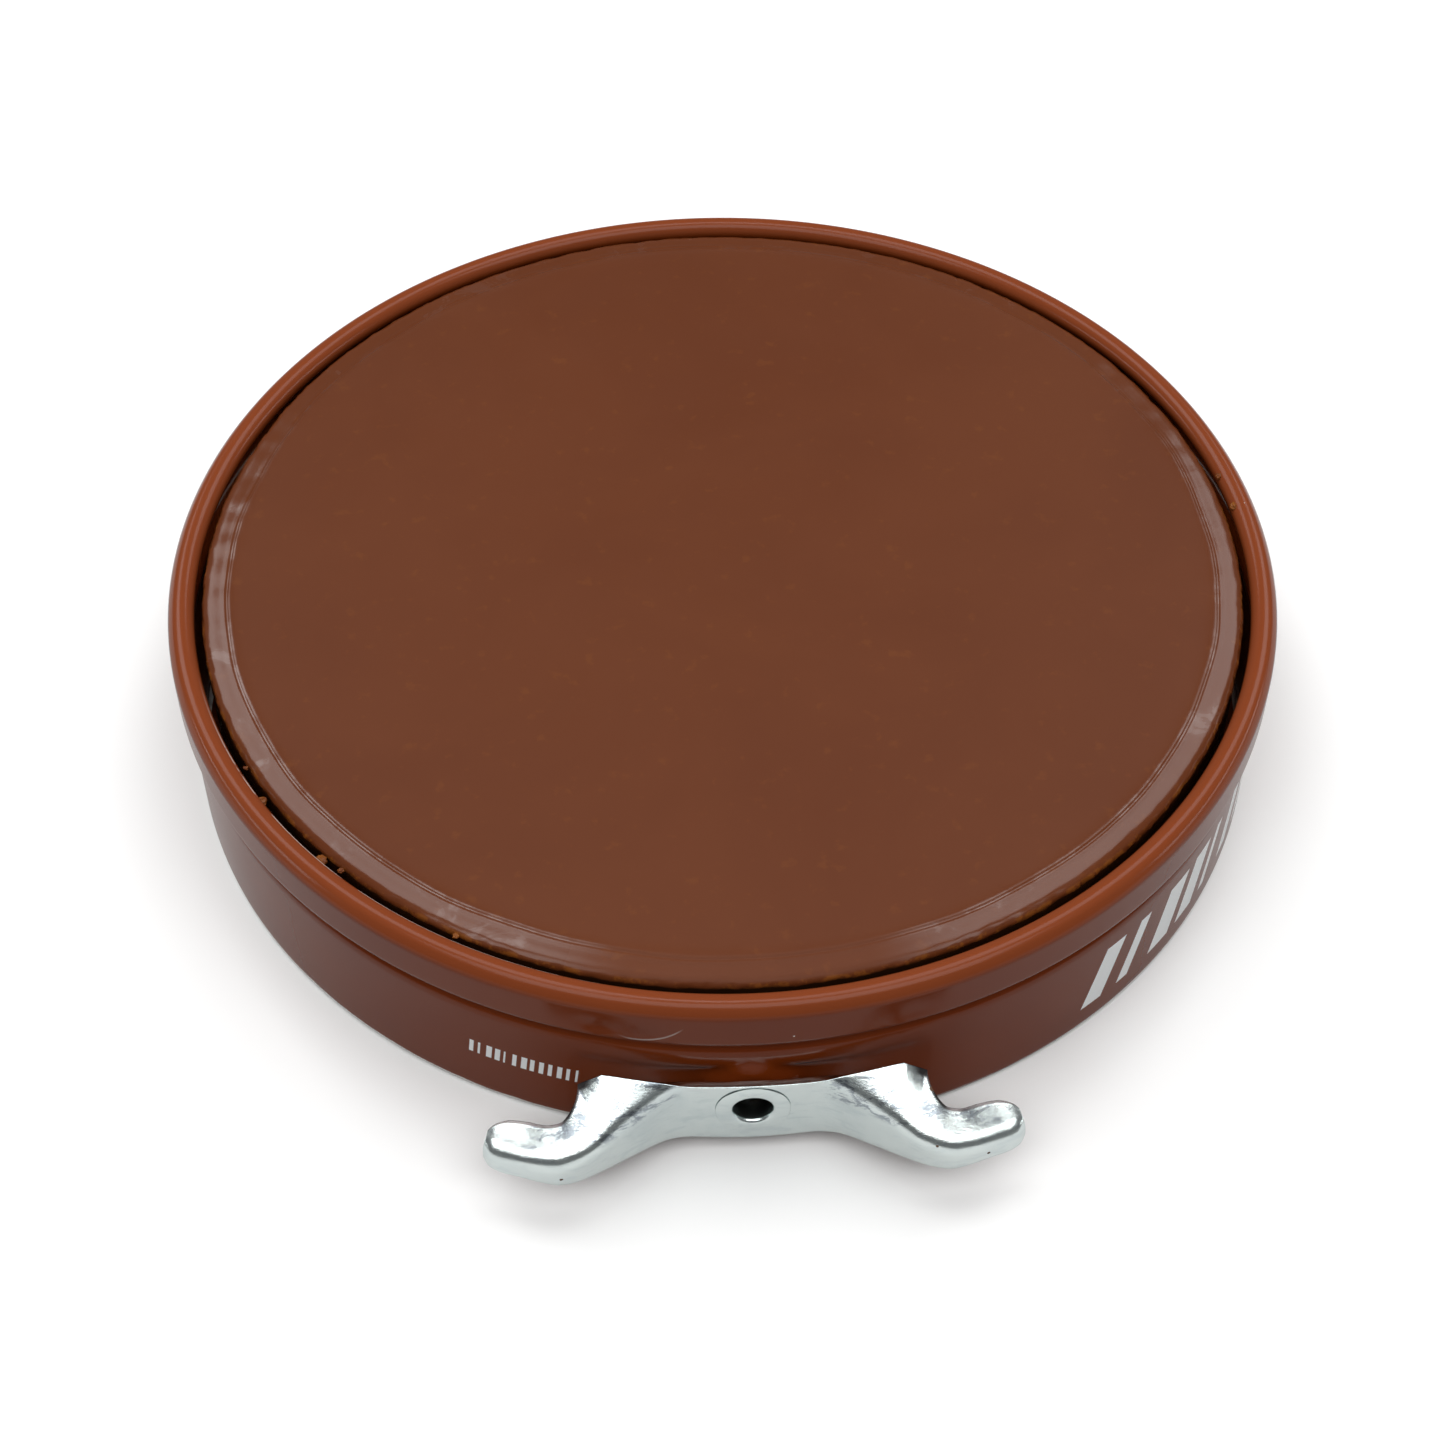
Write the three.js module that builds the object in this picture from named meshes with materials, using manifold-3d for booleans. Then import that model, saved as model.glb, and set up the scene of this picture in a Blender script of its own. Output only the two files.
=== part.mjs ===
// Shoe polish tin without its lid: a pressed and lacquered tinplate pan, the polish
// cake cast in it, and the opener key that turns on a hollow rivet through the wall.
//
// Units are millimetres. The origin is the centre of the pan's flat underside, +Z is up
// and the opener key is on the front, at -Y.
import * as THREE from 'three';
import { mergeVertices } from 'three/addons/utils/BufferGeometryUtils.js';
import Module from 'manifold-3d';

const wasm = await Module();
wasm.setup();

// ---- driving dimensions -------------------------------------------------------------

const AROUND = 64; // facets around the tin
const SHEET = 0.3; // tinplate of the pan

// pan, measured on its outside
const RIM_RADIUS = 38.5; // outermost point of the round that the bead follows
const BEAD_RADIUS = 0.84; // section radius of the rolled bead
const BEAD_HEIGHT = 13.45; // height of the middle of the bead's section
const FLANK_RADIUS = 38.55; // middle of the slope from the neck to the bead
const FLANK_HEIGHT = 13.65;
const NECK_RADIUS = 38.65; // plain band under the bead
const NECK_TOP = 13.3; // upper edge of the neck
const NECK_FOOT = 10.85; // lower edge of the neck
const WAIST_RADIUS = 38.0; // narrow line between neck and wall
const WAIST_HEIGHT = 9.35;
const WALL_RADIUS = 38.15;
const WALL_TOP = 8.95;
const CORNER_RADIUS = 0.6; // bottom corner of the pan
const BASE_GROOVE_RADIUS = 30.8; // stiffening ring pressed up into the base
const BASE_GROOVE_DEPTH = 0.35;
const BASE_GROOVE_WIDTH = 2.4;

// pressed recess in the wall behind the opener key, and the boss in its middle
const RECESS_DEPTH = 0.35;
const RECESS_RADIUS = 51; // the recess is flatter than the wall
const RECESS_BOTTOM = 1.7;
const RECESS_TOP = 8.0;
const RECESS_RAMP = 0.5; // height of its sloping lower and upper edges
const BOSS_HEIGHT = 0.8;
const BOSS_FOOT_RADIUS = 2.85;
const BOSS_TOP_RADIUS = 2.6;
const BORE_RADIUS = 1.75; // the rivet's hole in the wall

// polish cake
const CAKE_TOP = 14.2; // level with the top of the bead
const CAKE_FLAT_RADIUS = 34.3;
const CAKE_RADIUS = 36.3; // it has shrunk away from the rim
const CAKE_EDGE = 13.8; // height of the edge of its glossy shoulder
const CAKE_CLEAR = 0.2; // gap under the cake

// opener key, about the axis of its rivet
const KEY_AXIS_HEIGHT = 4.85;
const KEY_SHEET = 0.5;
const KEY_BACK = 38.95; // distance of the back of its web from the tin's axis
const KEY_HOLE_RADIUS = 1.8;
const KEY_FOLD_RADIUS = 0.7; // roundness of the fold along each wing

// hollow rivet
const RIVET_BORE_RADIUS = 1.25;
const RIVET_BARREL_RADIUS = 1.55;
const RIVET_HEAD_RADIUS = 2.4;
const RIVET_CLENCH_RADIUS = 2.1; // its inner head, hidden in the boss
const RIVET_HEAD = 0.3; // thickness of its two heads
const RIVET_PLAY = 0.15; // gap between a head and the sheet it holds
const RIVET_SIDES = 24;

// ---- helpers ------------------------------------------------------------------------

const v2 = (radius, height) => new THREE.Vector2(radius, height);
const v3 = (x, y, z) => new THREE.Vector3(x, y, z);

// Points of an arc in a lathe section, angles in degrees.
function arc(radius, height, size, from, to, steps) {
  const points = [];
  for (let i = 0; i <= steps; i++) {
    const angle = THREE.MathUtils.degToRad(from + ((to - from) * i) / steps);
    points.push(v2(radius + size * Math.cos(angle), height + size * Math.sin(angle)));
  }
  return points;
}

// Both faces of a bent sheet as one closed outline, from the points of its right face.
function sheetOutline(rightFace, thickness) {
  const last = rightFace.length - 1;
  const leftFace = rightFace.map((point, i) => {
    const before = point.clone().sub(rightFace[Math.max(i - 1, 0)]).normalize();
    const after = rightFace[Math.min(i + 1, last)].clone().sub(point).normalize();
    const along = before.add(after).normalize();
    return v2(Math.max(point.x - along.y * thickness, 0), point.y + along.x * thickness);
  });
  return [...rightFace, ...leftFace.reverse()];
}

function signedVolume(position, index) {
  const corner = [v3(), v3(), v3()];
  let sum = 0;
  for (let i = 0; i < index.count; i += 3) {
    corner.forEach((point, k) => point.fromBufferAttribute(position, index.getX(i + k)));
    sum += corner[0].dot(corner[1].cross(corner[2]));
  }
  return sum / 6;
}

// Joins the seams of a geometry, drops its flat-out triangles and faces it outward.
function closed(geometry) {
  geometry.deleteAttribute('normal');
  geometry.deleteAttribute('uv');
  const merged = mergeVertices(geometry, 1e-4);
  const outward = signedVolume(merged.attributes.position, merged.index) > 0;
  const kept = [];
  for (let i = 0; i < merged.index.count; i += 3) {
    const [a, b, c] = [0, 1, 2].map((k) => merged.index.getX(i + k));
    if (a !== b && b !== c && c !== a) kept.push(a, ...(outward ? [b, c] : [c, b]));
  }
  merged.setIndex(kept);
  return merged;
}

function lathe(outline, sides) {
  const geometry = new THREE.LatheGeometry(outline, sides);
  geometry.rotateX(Math.PI / 2); // a lathe turns about Y, the tin stands on Z
  return closed(geometry);
}

function toSolid(geometry) {
  const vertProperties = new Float32Array(geometry.attributes.position.array);
  const triVerts = new Uint32Array(geometry.index.array);
  return new wasm.Manifold(new wasm.Mesh({ numProp: 3, vertProperties, triVerts }));
}

function toGeometry(solid) {
  const { vertProperties, triVerts } = solid.getMesh();
  const geometry = new THREE.BufferGeometry();
  geometry.setAttribute('position', new THREE.BufferAttribute(vertProperties, 3));
  geometry.setIndex(new THREE.BufferAttribute(triVerts, 1));
  return geometry;
}

// A round frustum on the rivet's axis, between two distances from the tin's own axis.
function plug(backRadius, frontRadius, back, front) {
  const frustum = new THREE.CylinderGeometry(backRadius, frontRadius, front - back, RIVET_SIDES);
  frustum.translate(0, -(back + front) / 2, KEY_AXIS_HEIGHT);
  return toSolid(closed(frustum));
}

function part(name, geometry, look) {
  geometry.computeVertexNormals();
  const mesh = new THREE.Mesh(geometry, new THREE.MeshStandardMaterial(look));
  mesh.name = name;
  return mesh;
}

// ---- pan ----------------------------------------------------------------------------

// How far the wall is pressed in at a place on it.
function recessDepth(x, y, z) {
  const radius = Math.hypot(x, y);
  const sideways = (x / radius) * WALL_RADIUS;
  if (y > 0 || Math.abs(sideways) > WALL_RADIUS / 2) return 0;
  const fromEdge = Math.min(z - RECESS_BOTTOM, RECESS_TOP - z);
  const share = THREE.MathUtils.clamp(fromEdge / RECESS_RAMP, 0, 1);
  const wallSag = WALL_RADIUS - Math.sqrt(WALL_RADIUS ** 2 - sideways ** 2);
  const floorSag = RECESS_RADIUS - Math.sqrt(RECESS_RADIUS ** 2 - sideways ** 2);
  return share * Math.max(RECESS_DEPTH + floorSag - wallSag, 0);
}

function pressRecess(geometry) {
  const position = geometry.attributes.position;
  for (let i = 0; i < position.count; i++) {
    const place = v3().fromBufferAttribute(position, i);
    const radius = Math.hypot(place.x, place.y);
    if (radius < WALL_RADIUS - CORNER_RADIUS) continue;
    const scale = 1 - recessDepth(place.x, place.y, place.z) / radius;
    position.setXY(i, place.x * scale, place.y * scale);
  }
}

function makePan() {
  const tube = RIM_RADIUS - BEAD_RADIUS; // radius of the circle that the bead runs on
  const grooveHalf = BASE_GROOVE_WIDTH / 2;
  const outerFace = [
    v2(0, 0),
    v2(BASE_GROOVE_RADIUS - grooveHalf, 0),
    v2(BASE_GROOVE_RADIUS - grooveHalf / 2, BASE_GROOVE_DEPTH),
    v2(BASE_GROOVE_RADIUS + grooveHalf / 2, BASE_GROOVE_DEPTH),
    v2(BASE_GROOVE_RADIUS + grooveHalf, 0),
    ...arc(WALL_RADIUS - CORNER_RADIUS, CORNER_RADIUS, CORNER_RADIUS, -90, 0, 3),
    v2(WALL_RADIUS, RECESS_BOTTOM),
    v2(WALL_RADIUS, RECESS_BOTTOM + RECESS_RAMP),
    v2(WALL_RADIUS, RECESS_TOP - RECESS_RAMP),
    v2(WALL_RADIUS, RECESS_TOP),
    v2(WALL_RADIUS, WALL_TOP),
    v2(WAIST_RADIUS, WAIST_HEIGHT),
    v2(NECK_RADIUS, NECK_FOOT),
    v2(NECK_RADIUS, NECK_TOP),
    v2(FLANK_RADIUS, FLANK_HEIGHT),
    ...arc(tube, BEAD_HEIGHT, BEAD_RADIUS, 45, 225, 8), // over the top and in under it
  ];
  const sheet = lathe(sheetOutline(outerFace, SHEET), AROUND);
  pressRecess(sheet);

  const recessFloor = WALL_RADIUS - RECESS_DEPTH;
  const bossTop = recessFloor + BOSS_HEIGHT;
  const buried = SHEET / 2;
  const past = 1; // how far a cutting solid runs past the sheet
  const hollowBack = recessFloor - past;
  const hollow = plug(BOSS_FOOT_RADIUS - SHEET, BOSS_TOP_RADIUS - SHEET, hollowBack, bossTop - SHEET);
  return toSolid(sheet)
    .add(plug(BOSS_FOOT_RADIUS, BOSS_TOP_RADIUS, recessFloor - buried, bossTop))
    .subtract(hollow)
    .subtract(plug(BORE_RADIUS, BORE_RADIUS, recessFloor - past, bossTop + past));
}

// ---- polish cake --------------------------------------------------------------------

function makeCake() {
  const floor = SHEET + CAKE_CLEAR;
  const grooveHalf = BASE_GROOVE_WIDTH / 2 + 2 * SHEET; // clears both bends of the base groove
  const shoulderSwell = 0.05; // how far the shoulder swells above a straight slope
  return lathe([
    v2(0, floor),
    v2(BASE_GROOVE_RADIUS - grooveHalf, floor),
    v2(BASE_GROOVE_RADIUS - grooveHalf / 2, floor + BASE_GROOVE_DEPTH),
    v2(BASE_GROOVE_RADIUS + grooveHalf / 2, floor + BASE_GROOVE_DEPTH),
    v2(BASE_GROOVE_RADIUS + grooveHalf, floor),
    v2(CAKE_RADIUS - CORNER_RADIUS / 2, floor),
    v2(CAKE_RADIUS, floor + CORNER_RADIUS),
    v2(CAKE_RADIUS, CAKE_EDGE),
    v2((CAKE_RADIUS + CAKE_FLAT_RADIUS) / 2, (CAKE_EDGE + CAKE_TOP) / 2 + shoulderSwell),
    v2(CAKE_FLAT_RADIUS, CAKE_TOP),
    v2(0, CAKE_TOP),
  ], AROUND);
}

// ---- opener key ---------------------------------------------------------------------

// One half of the key, from the middle of its web out to a wing tip. Each row crosses the
// sheet: its upper edge, its fold and its lower edge, as [sideways, outward, up] from the
// middle of the web's own thickness at the rivet. The web lies flat behind its fold line.
const KEY_ROWS = [
  [[0.0, 0.0, 2.5], [0.0, 0.0, 0.0], [0.0, 0.0, -3.2]],
  [[2.4, -0.05, 2.5], [2.4, -0.05, 0.6], [2.2, -0.05, -3.15]],
  [[4.6, -0.15, 2.6], [5.0, 0.0, 2.0], [4.1, -0.05, -2.95]],
  [[7.0, -0.35, 2.9], [7.2, 1.2, 1.7], [5.6, 0.35, -2.65]],
  [[9.4, -0.6, 3.3], [8.9, 2.4, 1.3], [7.5, 1.5, -2.3]],
  [[10.9, -0.5, 2.5], [10.2, 3.4, 0.95], [9.3, 2.65, -2.0]],
  [[11.2, 0.7, 2.0], [11.3, 3.9, 0.8], [11.0, 3.65, -1.7]],
  [[11.9, 1.6, 1.5], [12.3, 4.1, 0.7], [12.3, 4.05, -1.5]],
  [[12.9, 1.75, 1.35], [13.3, 3.95, 0.6], [13.5, 3.9, -1.3]],
  [[14.1, 1.35, 1.2], [14.5, 3.6, 0.55], [14.7, 3.6, -1.1]],
  [[15.3, 1.1, 1.1], [15.6, 3.1, 0.5], [15.7, 3.1, -0.8]],
  [[16.2, 1.4, 0.9], [16.3, 2.6, 0.45], [16.35, 2.8, -0.4]],
  [[16.7, 1.9, 0.6], [16.8, 2.3, 0.35], [16.8, 2.5, 0.0]],
];

// The points across one row, with the fold rounded off.
function acrossKey([upper, fold, lower]) {
  const [top, bend, foot] = [upper, fold, lower].map((place) => v3(...place));
  const towards = (end) => {
    const reach = Math.min(KEY_FOLD_RADIUS, bend.distanceTo(end) / 2);
    return bend.clone().add(end.clone().sub(bend).setLength(reach));
  };
  const above = towards(top);
  const below = towards(foot);
  const crown = above.clone().add(below).multiplyScalar(0.25).addScaledVector(bend, 0.5);
  return [
    top,
    top.clone().lerp(above, 0.5),
    above,
    crown,
    below,
    below.clone().lerp(foot, 0.5),
    foot,
  ];
}

function makeKey() {
  const mirrored = (place) => v3(-place.x, place.y, place.z);
  const half = KEY_ROWS.map(acrossKey);
  const rows = [...half.slice(1).reverse().map((row) => row.map(mirrored)), ...half];
  const columns = rows[0].length;

  // face directions of the middle surface, from its neighbours along and across
  const near = (list, i) => list[THREE.MathUtils.clamp(i, 0, list.length - 1)];
  const normalAt = (r, c) => {
    const along = near(rows, r + 1)[c].clone().sub(near(rows, r - 1)[c]);
    const across = near(rows[r], c + 1).clone().sub(near(rows[r], c - 1));
    return across.cross(along).normalize();
  };

  const points = [];
  for (const side of [-0.5, 0.5]) {
    rows.forEach((row, r) => row.forEach((place, c) => {
      const moved = place.clone().addScaledVector(normalAt(r, c), side * KEY_SHEET);
      points.push(moved.x, -(moved.y + KEY_BACK + KEY_SHEET / 2), moved.z + KEY_AXIS_HEIGHT);
    }));
  }

  const perFace = rows.length * columns;
  const at = (face, r, c) => face * perFace + r * columns + c;
  const foot = columns - 1;
  const triangles = [];
  const quad = (a, b, c, d) => triangles.push(a, b, c, a, c, d);
  for (let r = 0; r < rows.length - 1; r++) {
    for (let c = 0; c < columns - 1; c++) {
      quad(at(0, r, c), at(0, r, c + 1), at(0, r + 1, c + 1), at(0, r + 1, c));
      quad(at(1, r, c), at(1, r + 1, c), at(1, r + 1, c + 1), at(1, r, c + 1));
    }
    quad(at(0, r, 0), at(0, r + 1, 0), at(1, r + 1, 0), at(1, r, 0));
    quad(at(0, r + 1, foot), at(0, r, foot), at(1, r, foot), at(1, r + 1, foot));
  }
  const end = rows.length - 1;
  for (let c = 0; c < columns - 1; c++) {
    quad(at(0, 0, c + 1), at(0, 0, c), at(1, 0, c), at(1, 0, c + 1));
    quad(at(0, end, c), at(0, end, c + 1), at(1, end, c + 1), at(1, end, c));
  }

  const sheet = new THREE.BufferGeometry();
  sheet.setAttribute('position', new THREE.Float32BufferAttribute(points, 3));
  sheet.setIndex(triangles);
  const past = 1; // how far the cutting solid runs past the sheet
  const hole = plug(KEY_HOLE_RADIUS, KEY_HOLE_RADIUS, KEY_BACK - past, KEY_BACK + KEY_SHEET + past);
  return toSolid(closed(sheet)).subtract(hole);
}

// ---- rivet --------------------------------------------------------------------------

function makeRivet() {
  const back = WALL_RADIUS - RECESS_DEPTH + BOSS_HEIGHT - SHEET - RIVET_PLAY;
  const front = KEY_BACK + KEY_SHEET + RIVET_PLAY;
  const outline = [
    v2(RIVET_BORE_RADIUS, back - RIVET_HEAD),
    v2(RIVET_CLENCH_RADIUS, back - RIVET_HEAD),
    v2(RIVET_CLENCH_RADIUS, back),
    v2(RIVET_BARREL_RADIUS, back),
    v2(RIVET_BARREL_RADIUS, front),
    v2(RIVET_HEAD_RADIUS, front),
    v2(RIVET_HEAD_RADIUS - RIVET_HEAD / 2, front + RIVET_HEAD),
    v2(RIVET_BORE_RADIUS + RIVET_HEAD / 2, front + RIVET_HEAD),
    v2(RIVET_BORE_RADIUS, front + RIVET_HEAD / 2),
    v2(RIVET_BORE_RADIUS, back - RIVET_HEAD),
  ];
  const rivet = lathe(outline, RIVET_SIDES);
  rivet.rotateX(Math.PI / 2); // its axis runs out of the wall, towards -Y
  rivet.translate(0, 0, KEY_AXIS_HEIGHT);
  return rivet;
}

// ---- the tin ------------------------------------------------------------------------

const lacquer = { color: 0x5a2e20, roughness: 0.25, metalness: 0.0 };
const wax = { color: 0x6e4029, roughness: 0.5, metalness: 0.0 };
const zinc = { color: 0xc8d2cf, roughness: 0.3, metalness: 1.0 };

const tin = new THREE.Group();
tin.add(part('tin_pan', toGeometry(makePan()), lacquer));
tin.add(part('polish_cake', makeCake(), wax));
tin.add(part('opener_key', toGeometry(makeKey()), zinc));
tin.add(part('hollow_rivet', makeRivet(), zinc));

export default tin;
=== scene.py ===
from math import atan2, cos, exp, hypot, pi, radians, sin, sqrt

import bpy
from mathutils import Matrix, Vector, noise


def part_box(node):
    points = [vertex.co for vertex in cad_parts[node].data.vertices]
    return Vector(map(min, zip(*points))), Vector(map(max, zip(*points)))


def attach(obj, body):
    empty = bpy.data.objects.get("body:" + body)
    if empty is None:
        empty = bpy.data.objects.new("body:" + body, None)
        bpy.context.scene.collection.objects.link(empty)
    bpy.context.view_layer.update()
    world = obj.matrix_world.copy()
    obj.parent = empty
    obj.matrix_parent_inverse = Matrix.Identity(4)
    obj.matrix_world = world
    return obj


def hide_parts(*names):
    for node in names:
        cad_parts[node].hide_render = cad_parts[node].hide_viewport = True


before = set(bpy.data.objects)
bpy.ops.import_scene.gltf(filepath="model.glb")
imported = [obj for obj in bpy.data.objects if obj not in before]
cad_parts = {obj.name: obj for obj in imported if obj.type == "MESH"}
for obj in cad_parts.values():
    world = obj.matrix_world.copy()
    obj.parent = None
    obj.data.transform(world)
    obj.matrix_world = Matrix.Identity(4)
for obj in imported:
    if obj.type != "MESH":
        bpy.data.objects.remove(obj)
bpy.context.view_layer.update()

bl_info = {
    "name": "Shoe Polish Tin",
    "version": (1, 0, 0),
    "blender": (4, 5, 0),
    "location": "3D View > Sidebar > Polish Tin",
    "description": "Builds an open shoe polish tin with its polish and opener key",
    "category": "Add Mesh",
}

MM = 0.001
PAN_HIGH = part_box("tin_pan")[1]
CAKE_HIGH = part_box("polish_cake")[1]
RIVET_LOW, RIVET_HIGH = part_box("hollow_rivet")
KEY_AXIS_Z = (RIVET_LOW.z + RIVET_HIGH.z) / 2


# ---- sizes and colours --------------------------------------------------------------


def length(name, description, default):
    return bpy.props.FloatProperty(
        name=name,
        description=description,
        default=default,
        unit="LENGTH",
        subtype="DISTANCE",
        precision=5,
    )


def colour(name, description, default):
    return bpy.props.FloatVectorProperty(
        name=name,
        description=description,
        default=default,
        size=3,
        subtype="COLOR",
        min=0.0,
        max=1.0,
    )


class PolishTinSizes(bpy.types.PropertyGroup):
    """Sizes of the tin's pieces, taken from the frame where it has them."""

    neck_radius: length("Neck Radius", "Radius of the plain band under the bead", PAN_HIGH.x)
    height: length("Height", "Top of the rolled bead", PAN_HIGH.z)
    bead: length("Bead Radius", "Radius of the bead's round section", 0.84 * MM)
    rim_inset: length("Rim Inset", "How far the bead stands inside the neck", 0.15 * MM)
    wall_inset: length("Wall Inset", "How far the wall stands inside the neck", 0.5 * MM)
    sheet: length("Sheet", "Thickness of the tinplate", 0.3 * MM)
    cake_radius: length("Cake Radius", "Radius of the polish cake", CAKE_HIGH.x)
    cake_height: length("Cake Height", "Top of the polish cake", CAKE_HIGH.z)
    key_sheet: length("Key Sheet", "Thickness of the opener key", 0.5 * MM)
    key_back: length("Key Back", "Distance of the key's back from the tin's axis", 38.95 * MM)


class PolishTinColours(bpy.types.PropertyGroup):
    """Colours of the tin's finishes."""

    lacquer: colour("Lacquer", "Brown lacquer of the pan", (0.155, 0.0275, 0.0042))
    lacquer_dark: colour("Lacquer Shade", "Thicker, darker lacquer", (0.138, 0.0225, 0.003))
    # painted highlight: a lighter colour on the bead for the sheen and top light it catches
    lacquer_bead_highlight: colour("Bead Lacquer", "Thinner, lighter lacquer on the bead", (0.178, 0.039, 0.0115))
    print_white: colour("Print", "Printed marks on the wall", (0.85, 0.87, 0.87))
    # uncoated tin, also the colour of the painted highlight on the bottom edge
    bare_tin_and_highlight: colour("Bare Tin", "Tinplate where the lacquer has come off", (0.8, 0.77, 0.72))
    wax: colour("Wax", "Top of the polish cake", (0.103, 0.0268, 0.0077))
    wax_dark: colour("Wax Shade", "Darker clouds in the polish", (0.094, 0.0235, 0.0065))
    # painted shade: a near-black colour for the cake's side, down in the gap
    wax_gap_shade: colour("Wax Side", "Dark side of the cake, down in the gap", (0.02, 0.007, 0.002))
    wax_amber: colour("Wax Crumbs", "Thin, see-through edges of the polish", (0.19, 0.06, 0.01))
    zinc: colour("Zinc", "Bright zinc plating", (0.715, 0.78, 0.765))
    zinc_dull: colour("Dull Zinc", "Clouded, bluish zinc", (0.5, 0.57, 0.6))
    # painted reflection: the dark blue patches on the wings
    zinc_dark_reflection: colour("Zinc Shade", "Dark blue patches on the wings", (0.1, 0.12, 0.17))
    key_edge: colour("Key Edge", "Cut upper edge of the wings", (0.06, 0.04, 0.04))
    rust: colour("Rust", "Specks where the plating is worn", (0.09, 0.045, 0.02))
    floor: colour("Floor", "Pale table top", (0.93, 0.93, 0.925))


# ---- modelling helpers --------------------------------------------------------------

MERGE_DISTANCE = 0.002 * MM  # closes the seam and the poles of a spun piece
DRILL_SIDES = 64


def arc(radius, height, size, start, end, steps):
    """Points of an arc in a section, in millimetres, with angles in degrees."""
    angles = [radians(start + (end - start) * i / steps) for i in range(steps + 1)]
    return [(radius + size * cos(a), height + size * sin(a)) for a in angles]


def smooth(low, high, value):
    """0 below low, 1 above high and a smooth step between them."""
    share = min(max((value - low) / (high - low), 0.0), 1.0)
    return share * share * (3 - 2 * share)


def only(obj):
    """Deselects everything else and makes obj the active object."""
    if bpy.context.mode != "OBJECT":
        bpy.ops.object.mode_set(mode="OBJECT")
    bpy.ops.object.select_all(action="DESELECT")
    obj.select_set(True)
    bpy.context.view_layer.objects.active = obj
    return obj


def spun(name, points, steps, centre, axis, place):
    """A section drawn point by point and spun all the way round an axis.

    place turns a point of the section, in millimetres, into its place in metres.
    """
    bpy.ops.object.select_all(action="DESELECT")
    bpy.ops.mesh.primitive_plane_add(size=MM)
    obj = bpy.context.object
    obj.name = obj.data.name = name
    bpy.ops.object.mode_set(mode="EDIT")
    bpy.ops.mesh.select_mode(type="VERT")
    bpy.ops.mesh.select_all(action="SELECT")
    bpy.ops.mesh.merge(type="CENTER")
    places = [Vector(place(*point)) for point in points]
    bpy.ops.transform.translate(value=places[0])
    for before, after in zip(places, places[1:]):
        bpy.ops.mesh.extrude_region_move(TRANSFORM_OT_translate={"value": after - before})
    bpy.ops.mesh.select_all(action="SELECT")
    bpy.ops.mesh.spin(steps=steps, angle=2 * pi, center=centre, axis=axis)
    bpy.ops.mesh.select_all(action="SELECT")
    bpy.ops.mesh.remove_doubles(threshold=MERGE_DISTANCE)
    bpy.ops.mesh.normals_make_consistent(inside=False)
    bpy.ops.object.mode_set(mode="OBJECT")
    return obj


def modify(obj, kind, **settings):
    """Adds a modifier with these settings and applies it."""
    only(obj)
    modifier = obj.modifiers.new(kind.title(), kind)
    for setting, value in settings.items():
        setattr(modifier, setting, value)
    bpy.ops.object.modifier_apply(modifier=modifier.name)


def drill(obj, radius, back, front):
    """Cuts a round hole on the rivet's axis between two distances from the tin's axis.

    The cutter is rolled half a side, so that none of its corners lies on the middle line.
    """
    bpy.ops.object.select_all(action="DESELECT")
    bpy.ops.mesh.primitive_cylinder_add(
        vertices=DRILL_SIDES,
        radius=radius,
        depth=front - back,
        location=(0, -(front + back) / 2, KEY_AXIS_Z),
        rotation=(pi / 2, pi / DRILL_SIDES, 0),
    )
    cutter = bpy.context.object
    modify(obj, "BOOLEAN", operation="DIFFERENCE", object=cutter, solver="EXACT")
    bpy.data.objects.remove(cutter)


def finish_piece(obj, material, node, body, crease=35):
    """Shades a piece, gives it its material and hands it to the frame."""
    only(obj)
    bpy.ops.object.transform_apply(location=True, rotation=True, scale=True)
    bpy.ops.object.shade_smooth_by_angle(angle=radians(crease))
    obj.data.materials.clear()
    obj.data.materials.append(material)
    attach(obj, body)
    if node:
        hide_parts(node)


# ---- shader helpers -----------------------------------------------------------------


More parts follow.
